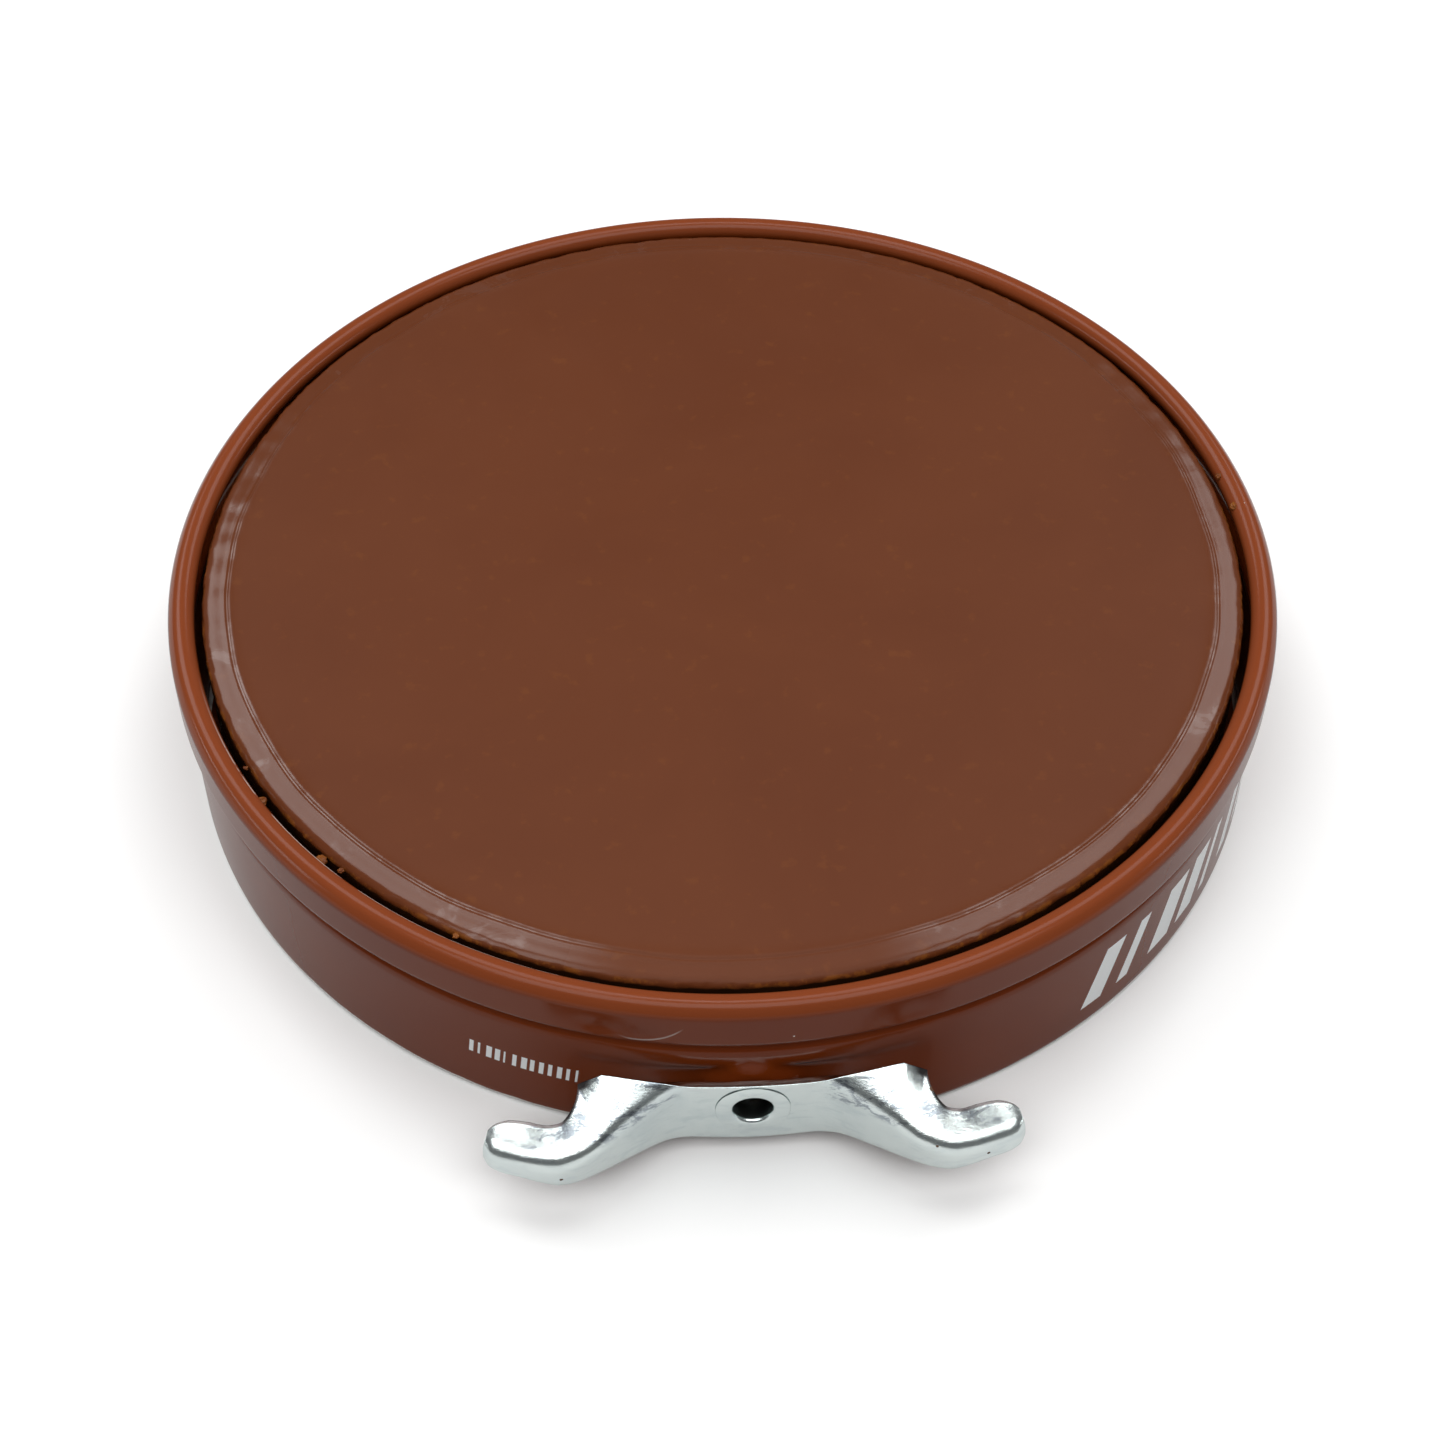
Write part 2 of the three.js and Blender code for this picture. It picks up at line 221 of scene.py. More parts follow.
class Graph:
    """Short ways to add and link nodes in a material or a group."""

    def __init__(self, tree):
        self.tree = tree

    def add(self, kind, inputs=None, **settings):
        node = self.tree.nodes.new(kind)
        for setting, value in settings.items():
            setattr(node, setting, value)
        for name, value in (inputs or {}).items():
            self.feed(node.inputs[name], value)
        return node

    def feed(self, socket, value):
        if isinstance(value, bpy.types.NodeSocket):
            self.tree.links.new(value, socket)
        else:
            socket.default_value = value

    def math(self, operation, a, b=0.0, clamp=False):
        node = self.add("ShaderNodeMath", operation=operation, use_clamp=clamp)
        self.feed(node.inputs[0], a)
        self.feed(node.inputs[1], b)
        return node.outputs[0]

    def times(self, value, *others):
        for other in others:
            value = self.math("MULTIPLY", value, other)
        return value

    def plus(self, a, b):
        return self.math("ADD", a, b)

    def minus(self, a, b):
        return self.math("SUBTRACT", a, b)

    def over(self, value, limit):
        """1 where value is greater than limit, else 0."""
        return self.math("GREATER_THAN", value, limit)

    def under(self, value, limit):
        """1 where value is less than limit, else 0."""
        return self.math("LESS_THAN", value, limit)

    def most(self, value, *others):
        """The greatest of the values."""
        for other in others:
            value = self.math("MAXIMUM", value, other)
        return value

    def away_from(self, value, place):
        """How far value is from place, either way."""
        return self.math("ABSOLUTE", self.minus(value, place))

    def fade(self, value, low, high):
        """1 at low, 0 at high, smoothly between."""
        return self.minus(1.0, self.span(value, low, high))

    def span(self, value, low, high):
        """0 at low, 1 at high, smoothly between."""
        node = self.add(
            "ShaderNodeMapRange",
            {"Value": value, "From Min": low, "From Max": high},
            interpolation_type="SMOOTHSTEP",
        )
        return node.outputs["Result"]

    def mix(self, share, a, b):
        """The colour a where share is 0 and b where it is 1."""
        node = self.add("ShaderNodeMix", data_type="RGBA")
        self.feed(node.inputs["Factor"], share)
        self.feed(node.inputs[6], a)
        self.feed(node.inputs[7], b)
        return node.outputs[2]

    def blend(self, share, a, b):
        """The number a where share is 0 and b where it is 1."""
        node = self.add("ShaderNodeMix", data_type="FLOAT")
        self.feed(node.inputs["Factor"], share)
        self.feed(node.inputs[2], a)
        self.feed(node.inputs[3], b)
        return node.outputs[0]

    def noise(self, where, scale, detail=3.0, roughness=0.55, distortion=0.0):
        node = self.add(
            "ShaderNodeTexNoise",
            {
                "Vector": where,
                "Scale": scale,
                "Detail": detail,
                "Roughness": roughness,
                "Distortion": distortion,
            },
        )
        return node.outputs["Fac"]


def group(name, inputs, outputs):
    """A new shader node group with float or vector sockets; returns its graph and ends."""
    tree = bpy.data.node_groups.new(name, "ShaderNodeTree")
    for label, kind, value in inputs:
        socket = tree.interface.new_socket(label, in_out="INPUT", socket_type=kind)
        if kind == "NodeSocketFloat":
            socket.default_value = value
    for label, kind in outputs:
        tree.interface.new_socket(label, in_out="OUTPUT", socket_type=kind)
    graph = Graph(tree)
    return graph, graph.add("NodeGroupInput"), graph.add("NodeGroupOutput")


def around_tin_group():
    """Place on the tin: arc length from the front, height and distance from the axis, in mm."""
    graph, start, end = group(
        "Place On Tin",
        [("Vector", "NodeSocketVector", None)],
        [("Along", "NodeSocketFloat"), ("Height", "NodeSocketFloat"), ("Radius", "NodeSocketFloat")],
    )
    parts = graph.add("ShaderNodeSeparateXYZ", {0: start.outputs["Vector"]})
    x, y, z = parts.outputs
    angle = graph.math("ARCTAN2", x, graph.times(y, -1.0))
    radius = graph.math("SQRT", graph.plus(graph.times(x, x), graph.times(y, y)))
    graph.feed(end.inputs["Along"], graph.times(angle, PAN_HIGH.x / MM))
    graph.feed(end.inputs["Height"], graph.math("DIVIDE", z, MM))
    graph.feed(end.inputs["Radius"], graph.math("DIVIDE", radius, MM))
    return graph.tree


def specks_group():
    """Scattered round specks: Cover is the share of cells with one, Size its radius in a cell."""
    graph, start, end = group(
        "Specks",
        [
            ("Vector", "NodeSocketVector", None),
            ("Scale", "NodeSocketFloat", 800.0),
            ("Size", "NodeSocketFloat", 0.3),
            ("Cover", "NodeSocketFloat", 0.1),
        ],
        [("Mask", "NodeSocketFloat")],
    )
    given = start.outputs
    ragged_by, allowance = 0.25, 0.1
    warp = graph.noise(given["Vector"], graph.times(given["Scale"], 2.0))
    cells = graph.add("ShaderNodeTexVoronoi", {"Vector": given["Vector"], "Scale": given["Scale"]})
    ragged = graph.plus(cells.outputs["Distance"], graph.times(warp, ragged_by))
    inside = graph.under(ragged, graph.plus(given["Size"], allowance))
    pick = graph.add("ShaderNodeSeparateXYZ", {0: cells.outputs["Color"]})
    chosen = graph.under(pick.outputs[0], given["Cover"])
    graph.feed(end.inputs["Mask"], graph.times(inside, chosen))
    return graph.tree


def streaks_group():
    """Fine, stretched streaks: Mask is high on a streak."""
    graph, start, end = group(
        "Streaks",
        [
            ("Vector", "NodeSocketVector", None),
            ("Scale", "NodeSocketFloat", 300.0),
            ("Sharpness", "NodeSocketFloat", 0.62),
        ],
        [("Mask", "NodeSocketFloat")],
    )
    given = start.outputs
    soft_edge = 0.14
    streaks = graph.noise(given["Vector"], given["Scale"], 4.0, 0.7, 0.6)
    full = graph.plus(given["Sharpness"], soft_edge)
    graph.feed(end.inputs["Mask"], graph.span(streaks, given["Sharpness"], full))
    return graph.tree


def printed_bars_group():
    """A row of upright bars of mixed widths inside a box on the wall, leaning by Lean."""
    graph, start, end = group(
        "Printed Bars",
        [
            ("Along", "NodeSocketFloat", 0.0),
            ("Height", "NodeSocketFloat", 0.0),
            ("Start", "NodeSocketFloat", 0.0),
            ("End", "NodeSocketFloat", 1.0),
            ("Low", "NodeSocketFloat", 0.0),
            ("High", "NodeSocketFloat", 1.0),
            ("Pitch", "NodeSocketFloat", 0.5),
            ("Lean", "NodeSocketFloat", 0.0),
            ("Fill", "NodeSocketFloat", 0.55),
        ],
        [("Mask", "NodeSocketFloat")],
    )
    given = start.outputs
    width_change = 0.5
    rise = graph.minus(given["Height"], given["Low"])
    leaning = graph.minus(given["Along"], graph.times(rise, given["Lean"]))
    cell = graph.math("DIVIDE", graph.minus(leaning, given["Start"]), given["Pitch"])
    picked = graph.add("ShaderNodeTexWhiteNoise", {"W": graph.math("FLOOR", cell)}, noise_dimensions="1D")
    change = graph.times(graph.minus(picked.outputs["Value"], 0.5), width_change)
    bar = graph.under(graph.math("FRACT", cell), graph.plus(given["Fill"], change))
    inside = graph.times(
        bar,
        graph.over(leaning, given["Start"]),
        graph.under(leaning, given["End"]),
        graph.over(given["Height"], given["Low"]),
        graph.under(given["Height"], given["High"]),
    )
    graph.feed(end.inputs["Mask"], inside)
    return graph.tree


def shared_group(name):
    """The node group of this name, made once."""
    makers = {
        "Place On Tin": around_tin_group,
        "Specks": specks_group,
        "Streaks": streaks_group,
        "Printed Bars": printed_bars_group,
    }
    return bpy.data.node_groups.get(name) or makers[name]()


def use_group(graph, name, **inputs):
    """Places a shared group, feeds its inputs and returns its outputs."""
    node = graph.add("ShaderNodeGroup")
    node.node_tree = shared_group(name)
    for label, value in inputs.items():
        graph.feed(node.inputs[label], value)
    return node.outputs


def new_material(name, **fixed):
    """A material with one Principled shader; fixed sets its even values."""
    material = bpy.data.materials.new(name)
    material.use_nodes = True
    material.node_tree.nodes.clear()
    graph = Graph(material.node_tree)
    shader = graph.add("ShaderNodeBsdfPrincipled")
    for label, value in fixed.items():
        shader.inputs[label.replace("_", " ")].default_value = value
    output = graph.add("ShaderNodeOutputMaterial")
    graph.feed(output.inputs["Surface"], shader.outputs[0])
    where = graph.add("ShaderNodeTexCoord").outputs["Object"]
    return material, graph, shader, where


def stretched(graph, where, scale, turn=(0, 0, 0)):
    """Coordinates squeezed and turned, for patterns that run one way."""
    node = graph.add("ShaderNodeMapping", {"Vector": where, "Scale": scale, "Rotation": turn})
    return node.outputs[0]


def bump(graph, height, distance, strength, normal=None):
    """A normal raised by height, on top of another normal where one is given."""
    node = graph.add("ShaderNodeBump", {"Height": height, "Distance": distance, "Strength": strength})
    if normal is not None:
        graph.feed(node.inputs["Normal"], normal)
    return node.outputs[0]


# ---- materials ----------------------------------------------------------------------

# All places in the materials are in millimetres: Along is measured round the wall from the
# key, Radius from the tin's axis. Noise scales are per metre.

WHITE, BLACK = (1.0, 1.0, 1.0, 1.0), (0.0, 0.0, 0.0, 1.0)

# two rows of plain printed bars: a small one beside the key, a large one round to the right
PRINTED_ROWS = (
    {"Start": -19.0, "End": -11.0, "Low": 4.3, "High": 5.6, "Pitch": 0.62, "Lean": 0.12, "Fill": 0.45},
    {"Start": 24.0, "End": 46.0, "Low": 2.2, "High": 7.4, "Pitch": 3.4, "Lean": 0.35, "Fill": 0.5},
)


def opaque(rgb):
    return (*rgb, 1.0)


def printed_marks(graph, place):
    """Mask of the rows of bars, on the outer face of the wall only."""
    outer_face = 37.95
    rows = [
        use_group(graph, "Printed Bars", Along=place["Along"], Height=place["Height"], **row)["Mask"]
        for row in PRINTED_ROWS
    ]
    return graph.times(graph.most(*rows), graph.over(place["Radius"], outer_face))


def bare_bottom_highlight(graph, where, place):
    """Mask of the bottom edge where the lacquer is off, at full strength to the left of the key as a
    painted highlight and faint elsewhere.
    """
    corner_radius, worn_height, strength_off_highlight = 37.55, (0.68, 0.76), 0.25
    ragged = graph.times(graph.noise(where, 420.0, 4.0, 0.65), 0.3)
    low = graph.fade(graph.plus(place["Height"], ragged), *worn_height)
    edge = graph.times(low, graph.over(place["Radius"], corner_radius))
    # painted highlight: the edge shows fully only on the lit side, left of the key
    left = graph.fade(place["Along"], -14.0, -4.0)
    return graph.times(edge, graph.blend(left, strength_off_highlight, 1.0))


def rubbed_curl(graph, where, place):
    """Mask of the broken pale line on the curl's inner side, to the left of the key."""
    line_radius, line_half, curl_height, strength = 37.0, 0.05, 13.6, 0.4
    return graph.times(
        graph.under(graph.away_from(place["Radius"], line_radius), line_half),
        graph.over(place["Height"], curl_height),
        graph.fade(place["Along"], -14.0, -6.0),
        graph.span(place["Along"], -52.0, -40.0),
        graph.span(graph.noise(where, 260.0, 5.0), 0.44, 0.5),
        strength,
    )


def curved_pale_line(graph, place):
    """Mask of a faint pale curved line on the neck, beside the key."""
    middle, lowest, curve, strength = -7.1, 10.85, 0.2, 0.3
    run = graph.minus(place["Along"], middle)
    path = graph.plus(graph.times(run, run, curve), lowest)
    line = graph.fade(graph.away_from(place["Height"], path), 0.03, 0.12)
    return graph.times(line, graph.span(run, -1.4, 0.0), graph.fade(run, 2.2, 2.9), strength)


def lacquer_material(colours):
    """Glossy brown lacquer on tinplate, with a painted highlight over the bead, printed marks, chips and
    an uncoated bottom edge with a painted highlight to the left of the key.
    """
    bead_height, bead_inside = (13.3, 13.7), 36.4
    material, graph, shader, where = new_material("Brown Lacquer", Specular_IOR_Level=0.15, IOR=1.5)
    place = use_group(graph, "Place On Tin", Vector=where)
    clouds = graph.span(graph.noise(where, 60.0, 3.0), 0.35, 0.7)
    base = graph.mix(clouds, opaque(colours.lacquer), opaque(colours.lacquer_dark))
    # painted highlight: the bead is coloured lighter for the sheen and top light it catches
    bead_highlight = graph.span(place["Height"], *bead_height)
    bead_highlight = graph.times(bead_highlight, graph.over(place["Radius"], bead_inside))
    base = graph.mix(bead_highlight, base, opaque(colours.lacquer_bead_highlight))
    printed = printed_marks(graph, place)
    base = graph.mix(printed, base, opaque(colours.print_white))
    # uncoated tin along the bottom edge, with a painted highlight to the left of the key
    edge = bare_bottom_highlight(graph, where, place)
    chips = use_group(graph, "Specks", Vector=where, Scale=800.0, Size=0.08, Cover=0.03)["Mask"]
    bare_and_highlight = graph.most(edge, chips, rubbed_curl(graph, where, place), curved_pale_line(graph, place))
    base = graph.mix(bare_and_highlight, base, opaque(colours.bare_tin_and_highlight))
    graph.feed(shader.inputs["Base Color"], base)
    graph.feed(shader.inputs["Metallic"], graph.times(edge, 0.15))

    haze = graph.noise(where, 140.0, 5.0, 0.7)
    upright = stretched(graph, where, (1, 1, 6))
    wiped = use_group(graph, "Streaks", Vector=upright, Scale=260.0, Sharpness=0.66)["Mask"]
    rough = graph.plus(graph.times(haze, 0.1), 0.13)
    rough = graph.plus(rough, graph.times(wiped, 0.12))
    rough = graph.plus(rough, graph.times(graph.most(printed, bare_and_highlight), 0.15))
    graph.feed(shader.inputs["Roughness"], rough)
    orange_peel = graph.noise(where, 700.0, 2.0)
    normal = bump(graph, orange_peel, 0.004 * MM, 0.5)
    normal = bump(graph, printed, 0.01 * MM, 0.6, normal)
    graph.feed(shader.inputs["Normal"], normal)
    return material


def wax_colour(graph, where, place, grain, colours, crumbs):
    """Clouded brown, with painted shade down the side in the gap and amber in thin flakes along the edge.
    """
    clouds = graph.span(graph.noise(where, 55.0, 4.0, 0.6, 0.4), 0.3, 0.75)
    base = graph.mix(clouds, opaque(colours.wax), opaque(colours.wax_dark))
    freckles = graph.times(graph.span(grain, 0.6, 0.75), 0.16)
    base = graph.mix(freckles, base, opaque(colours.wax_amber))
    ragged = graph.times(graph.noise(where, 500.0), 0.5)
    upper = graph.span(graph.minus(place["Height"], ragged), 13.1, 13.35)
    # painted shade: the cake's side below the ragged top edge is darkened, down in the gap
    side = graph.times(graph.span(place["Radius"], 35.8, 36.1), graph.minus(1.0, upper))
    base = graph.mix(side, base, opaque(colours.wax_gap_shade))
    flakes = graph.noise(where, 900.0, 4.0, 0.7)
    edge = graph.times(graph.span(place["Radius"], 36.05, 36.2), upper)
    amber = graph.times(edge, 0.7, graph.span(flakes, 0.48, 0.6))
    if crumbs:
        amber = graph.span(flakes, 0.35, 0.6)
    return graph.mix(amber, base, opaque(colours.wax_amber))


def wax_material(colours, name="Brown Polish", crumbs=False):
    """Hard wax polish: satin, faintly clouded top, glossy shoulder, amber where it is thin."""
    material, graph, shader, where = new_material(
        name, IOR=1.45, Specular_IOR_Level=0.15, Coat_IOR=1.5, Coat_Roughness=0.2
    )
    place = use_group(graph, "Place On Tin", Vector=where)
    grain = graph.noise(where, 900.0, 3.0)
    graph.feed(shader.inputs["Base Color"], wax_colour(graph, where, place, grain, colours, crumbs))

    # the shoulder shines except just behind the key, brightest in smears and along its crest
    beside_key = graph.span(graph.math("ABSOLUTE", place["Along"]), 8.0, 15.0)
    shoulder = graph.times(graph.span(place["Radius"], 33.9, 34.5), beside_key)
    drawn_out = stretched(graph, where, (1, 1, 3))
    smears = use_group(graph, "Streaks", Vector=drawn_out, Scale=240.0, Sharpness=0.55)["Mask"]
    satin = graph.plus(graph.times(graph.noise(where, 180.0, 5.0, 0.7), 0.16), 0.38)
    gloss = graph.plus(graph.times(smears, 0.18), 0.2)
    graph.feed(shader.inputs["Roughness"], graph.blend(shoulder, satin, gloss))
    broken = graph.span(graph.noise(where, 330.0, 4.0, 0.65), 0.46, 0.56)
    crest = graph.times(graph.fade(place["Radius"], 34.5, 34.75), broken)
    shine = graph.plus(graph.times(graph.most(smears, crest), 0.65), 0.35)
    if not crumbs:
        graph.feed(shader.inputs["Coat Weight"], graph.times(shoulder, shine))

    wrinkles = graph.noise(stretched(graph, where, (1, 1, 2)), 260.0, 4.0, 0.6, 1.2)
    normal = bump(graph, grain, 0.006 * MM, 0.6)
    normal = bump(graph, graph.times(wrinkles, shoulder), 0.05 * MM, 0.7, normal)
    graph.feed(shader.inputs["Normal"], normal)
    return material


def wing_dark_reflections(graph, where, aside, height, clouds):
    """Mask of the painted dark reflections on the upper plates of the key's wings."""
    across_plate = stretched(graph, where, (1.0, 2.0, 2.6), (0, 0, radians(-20)))
    reflection_noise = graph.noise(across_plate, 480.0, 6.0, 0.8, 0.5)
    on_wing = graph.times(graph.span(aside, 4.0, 5.5), graph.span(height, 5.5, 6.1))
    return graph.times(graph.span(reflection_noise, 0.5, 0.58), graph.span(clouds, 0.36, 0.5), on_wing)


def zinc_material(colours, name="Bright Zinc", dull=0.35):
    """Bright zinc plating on pressed steel: clouded, streaked along the press, painted dark reflections
    on the wings, rust specks.
    """
    material, graph, shader, where = new_material(name, IOR=1.5)
    place = use_group(graph, "Place On Tin", Vector=where)
    aside = graph.math("ABSOLUTE", place["Along"])
    clouds = graph.noise(where, 210.0, 5.0, 0.65, 0.8)
    cloudy = graph.times(graph.span(clouds, 0.42, 0.7), dull)
    base = graph.mix(cloudy, opaque(colours.zinc), opaque(colours.zinc_dull))
    along_press = stretched(graph, where, (1.0, 1.0, 4.0), (0, radians(25), 0))
    streaks = use_group(graph, "Streaks", Vector=along_press, Scale=520.0, Sharpness=0.5)["Mask"]
    base = graph.mix(graph.times(streaks, 0.35), base, opaque(colours.zinc_dull))
    # painted reflection: dark blue patches on the wings' upper plates
    patches = wing_dark_reflections(graph, where, aside, place["Height"], clouds)
    base = graph.mix(graph.times(patches, 0.65), base, opaque(colours.zinc_dark_reflection))
    upper_edge = graph.add("ShaderNodeAttribute", attribute_name="Upper Edge").outputs["Fac"]
    rim = graph.times(graph.span(upper_edge, 0.25, 0.6), graph.span(aside, 9.6, 10.2))
    base = graph.mix(graph.times(rim, 0.9), base, opaque(colours.key_edge))
    specks = use_group(graph, "Specks", Vector=where, Scale=900.0, Size=0.14, Cover=0.16)["Mask"]
    base = graph.mix(specks, base, opaque(colours.rust))
    graph.feed(shader.inputs["Base Color"], base)
    graph.feed(shader.inputs["Metallic"], graph.minus(1.0, graph.times(specks, 0.8)))

    rough = graph.plus(graph.times(clouds, 0.16), 0.12)
    rough = graph.plus(rough, graph.times(specks, 0.4))
    graph.feed(shader.inputs["Roughness"], rough)
    brushed = stretched(graph, where, (1, 2.5, 2.5), (0, 0, radians(30)))
    normal = bump(graph, graph.noise(where, 300.0, 2.0), 0.04 * MM, 0.6)
    normal = bump(graph, graph.noise(brushed, 1600.0, 5.0, 0.75), 0.02 * MM, 0.7, normal)
    graph.feed(shader.inputs["Normal"], normal)
    return material


# ---- pan ----------------------------------------------------------------------------

# sizes of the pan in millimetres
PAN_STEPS = 400  # faces round the pan
BASE_CORNER = 0.6
GROOVE_RADIUS, GROOVE_WIDTH, GROOVE_DEPTH = 30.8, 2.4, 0.35  # stiffening ring in the base
WALL_ROWS, WALL_ROW = 20, 0.4
NECK_FOOT, NECK_ROWS, NECK_ROW = 11.0, 9, 0.25
# the waist over the wall, as (distance inside the wall, height)
WAIST = (
    (0.01, 9.2),
    (0.05, 9.3),
    (0.14, 9.4),
    (0.26, 9.5),
    (0.33, 9.62),
    (0.35, 9.8),
    (0.35, 10.1),
    (0.3, 10.3),
    (0.1, 10.48),
)
# the step out to the neck and the slope over it, as (distance inside the neck, height)
NECK_STEP = ((0.36, 10.58), (0.14, 10.66), (0.04, 10.74), (0.01, 10.84))
NECK_SLOPE = ((0.01, 13.4), (0.05, 13.54), (0.12, 13.68), (0.23, 13.84))

RECESS_LOW, RECESS_HIGH = 1.7, 8.0  # the pressed recess behind the key
RECESS_DEPTH = 0.35
RECESS_RADIUS = 51.0
RECESS_LEAST = 0.16  # depth kept up to the recess's ends
RECESS_ENDS = (11.2, 10.4)
BOSS_HEIGHT = 0.8
BOSS_SLOPE = (3.3, 2.2)  # radii where the boss starts and is full
PAN_HOLE = 1.75  # radius of the rivet's hole
DRILL_REACH = 3.0  # how far the hole's cutter stands out on each side of the wall
PRESSED_BELOW = 13.0  # the bead above this height is left round

# dents in the neck and wall above the key: place along the wall, height, size and depth
DENTS = (
    (-9.4, 11.7, 0.9, 0.1),
    (-6.6, 11.2, 1.2, 0.1),
    (-9.8, 8.9, 0.7, 0.08),
    (9.8, 11.6, 1.1, 0.06),
    (12.4, 8.8, 0.8, 0.05),
)


def pan_section(sizes):
    """The outer face of the pan's sheet, from the middle of its base to the end of the curl."""
    neck = sizes.neck_radius / MM
    wall = neck - sizes.wall_inset / MM
    bead = sizes.bead / MM
    tube = neck - (sizes.rim_inset + sizes.bead) / MM
    tube_height = (sizes.height - sizes.bead) / MM
    points = [(0.0, 0.0), (10.0, 0.0), (20.0, 0.0)]
    for i in range(9):
        across = -GROOVE_WIDTH / 2 + GROOVE_WIDTH * i / 8
        points.append((GROOVE_RADIUS + across, GROOVE_DEPTH * smooth(GROOVE_WIDTH / 2, 0.5, abs(across))))
    points += arc(wall - BASE_CORNER, BASE_CORNER, BASE_CORNER, -90, 0, 8)
    points += [(wall, BASE_CORNER + WALL_ROW * i) for i in range(1, WALL_ROWS + 1)]
    points += [(wall - inside, height) for inside, height in WAIST]
    points += [(neck - inside, height) for inside, height in NECK_STEP]
    points += [(neck, NECK_FOOT + NECK_ROW * i) for i in range(NECK_ROWS + 1)]
    points += [(neck - inside, height) for inside, height in NECK_SLOPE]
    points += arc(tube, tube_height, bead, 42, 215, 26)
    return points


def recess_depth(sideways, height, wall):
    """How deep the flatter recess lies under the round wall, with its boss standing up."""
    wall_sag = wall - sqrt(wall**2 - sideways**2)
    floor_sag = RECESS_RADIUS - sqrt(RECESS_RADIUS**2 - sideways**2)
    share = smooth(RECESS_LOW, RECESS_LOW + 0.6, height) * smooth(RECESS_HIGH, RECESS_HIGH - 1.1, height)
    least = RECESS_LEAST * smooth(*RECESS_ENDS, abs(sideways))
    from_rivet = hypot(sideways, height - KEY_AXIS_Z / MM)
    boss = BOSS_HEIGHT * smooth(*BOSS_SLOPE, from_rivet)
    return share * max(RECESS_DEPTH + floor_sag - wall_sag, least) - boss


def wall_press(along, height, wall):
    """How far the wall is pressed in at a place, in millimetres."""
    depth = 0.0
    if abs(along) < wall / 2 and RECESS_LOW - 1 < height < RECESS_HIGH + 1:
        depth = recess_depth(wall * sin(along / wall), height, wall)
    for dent_along, dent_height, size, deep in DENTS:
        apart = hypot(along - dent_along, (height - dent_height) * 1.4)
        depth += deep * exp(-((apart / size) ** 2))
    return depth


def press_wall(obj, wall):
    """Presses the recess, its boss and the dents into the pan's wall."""
    for vertex in obj.data.vertices:
        x, y, z = vertex.co / MM
        radius = hypot(x, y)
        if radius < wall - 1.0 or z > PRESSED_BELOW:
            continue
        along = atan2(x, -y) * wall
        ripple = 0.02 * noise.noise(Vector((x, y, z)) * 0.07)
        scale = 1 - (wall_press(along, z, wall) + ripple) / radius
        vertex.co.x *= scale
        vertex.co.y *= scale


class POLISH_TIN_OT_pan(bpy.types.Operator):
    """Spin and press the lacquered tin pan with its rolled rim"""

    bl_idname = "polish_tin.pan"
    bl_label = "Tin Pan"

    def execute(self, context):
        sizes = context.scene.polish_tin_sizes
        wall = (sizes.neck_radius - sizes.wall_inset) / MM
        pan = spun(
            "Tin_Pan",
            pan_section(sizes),
            PAN_STEPS,
            (0, 0, 0),
            (0, 0, 1),
            lambda r, z: (r * MM, 0, z * MM),
        )
        press_wall(pan, wall)
        modify(pan, "SOLIDIFY", thickness=sizes.sheet, offset=-1.0)
        drill(pan, PAN_HOLE * MM, (wall - DRILL_REACH) * MM, (wall + DRILL_REACH) * MM)
        material = lacquer_material(context.scene.polish_tin_colours)
        finish_piece(pan, material, "tin_pan", "tin")
        return {"FINISHED"}


# ---- polish cake --------------------------------------------------------------------


# sizes of the cake in millimetres
CAKE_STEPS = 576  # faces round the cake
CAKE_TRIM = 0.04  # the edge stands out and the top sits down by this, to leave room for lumps
CAKE_SHOULDER = (
    (33.5, 0.0),
    (33.8, 0.01),
    (34.05, 0.035),
    (34.2, 0.05),
    (34.3, 0.04),
    (34.38, 0.0),
    (34.46, -0.03),
    (34.54, -0.02),
    (34.62, -0.01),
    (34.72, -0.03),
    (34.85, -0.065),
    (35.0, -0.085),
    (35.2, -0.1),
    (35.45, -0.125),
    (35.7, -0.16),
    (35.85, -0.2),
    (36.0, -0.26),
    (36.12, -0.34),
    (36.22, -0.45),
    (36.28, -0.6),
    (36.3, -0.8),
)


def cake_section(sizes):
    """The cake's outline from the middle of its top, over the shoulder, to its underside."""
    radius = sizes.cake_radius / MM + CAKE_TRIM
    top = sizes.cake_height / MM - CAKE_TRIM
    widest = CAKE_SHOULDER[-1][0]
    points = [(0.0, top)] + [(3.0 * i, top) for i in range(1, 12)]
    points += [(r - widest + radius, top + dz) for r, dz in CAKE_SHOULDER]
    points += [(radius, top - 1.2 - 0.9 * i) for i in range(12)]
    # the underside, which steps over the stiffening ring in the pan's base
    points += [(radius, 1.4), (radius - 0.2, 0.8), (radius - 0.6, 0.5), (32.6, 0.5), (31.4, 0.85)]
    points += [(30.2, 0.85), (29.0, 0.5), (15.0, 0.5), (0.0, 0.5)]
    return points


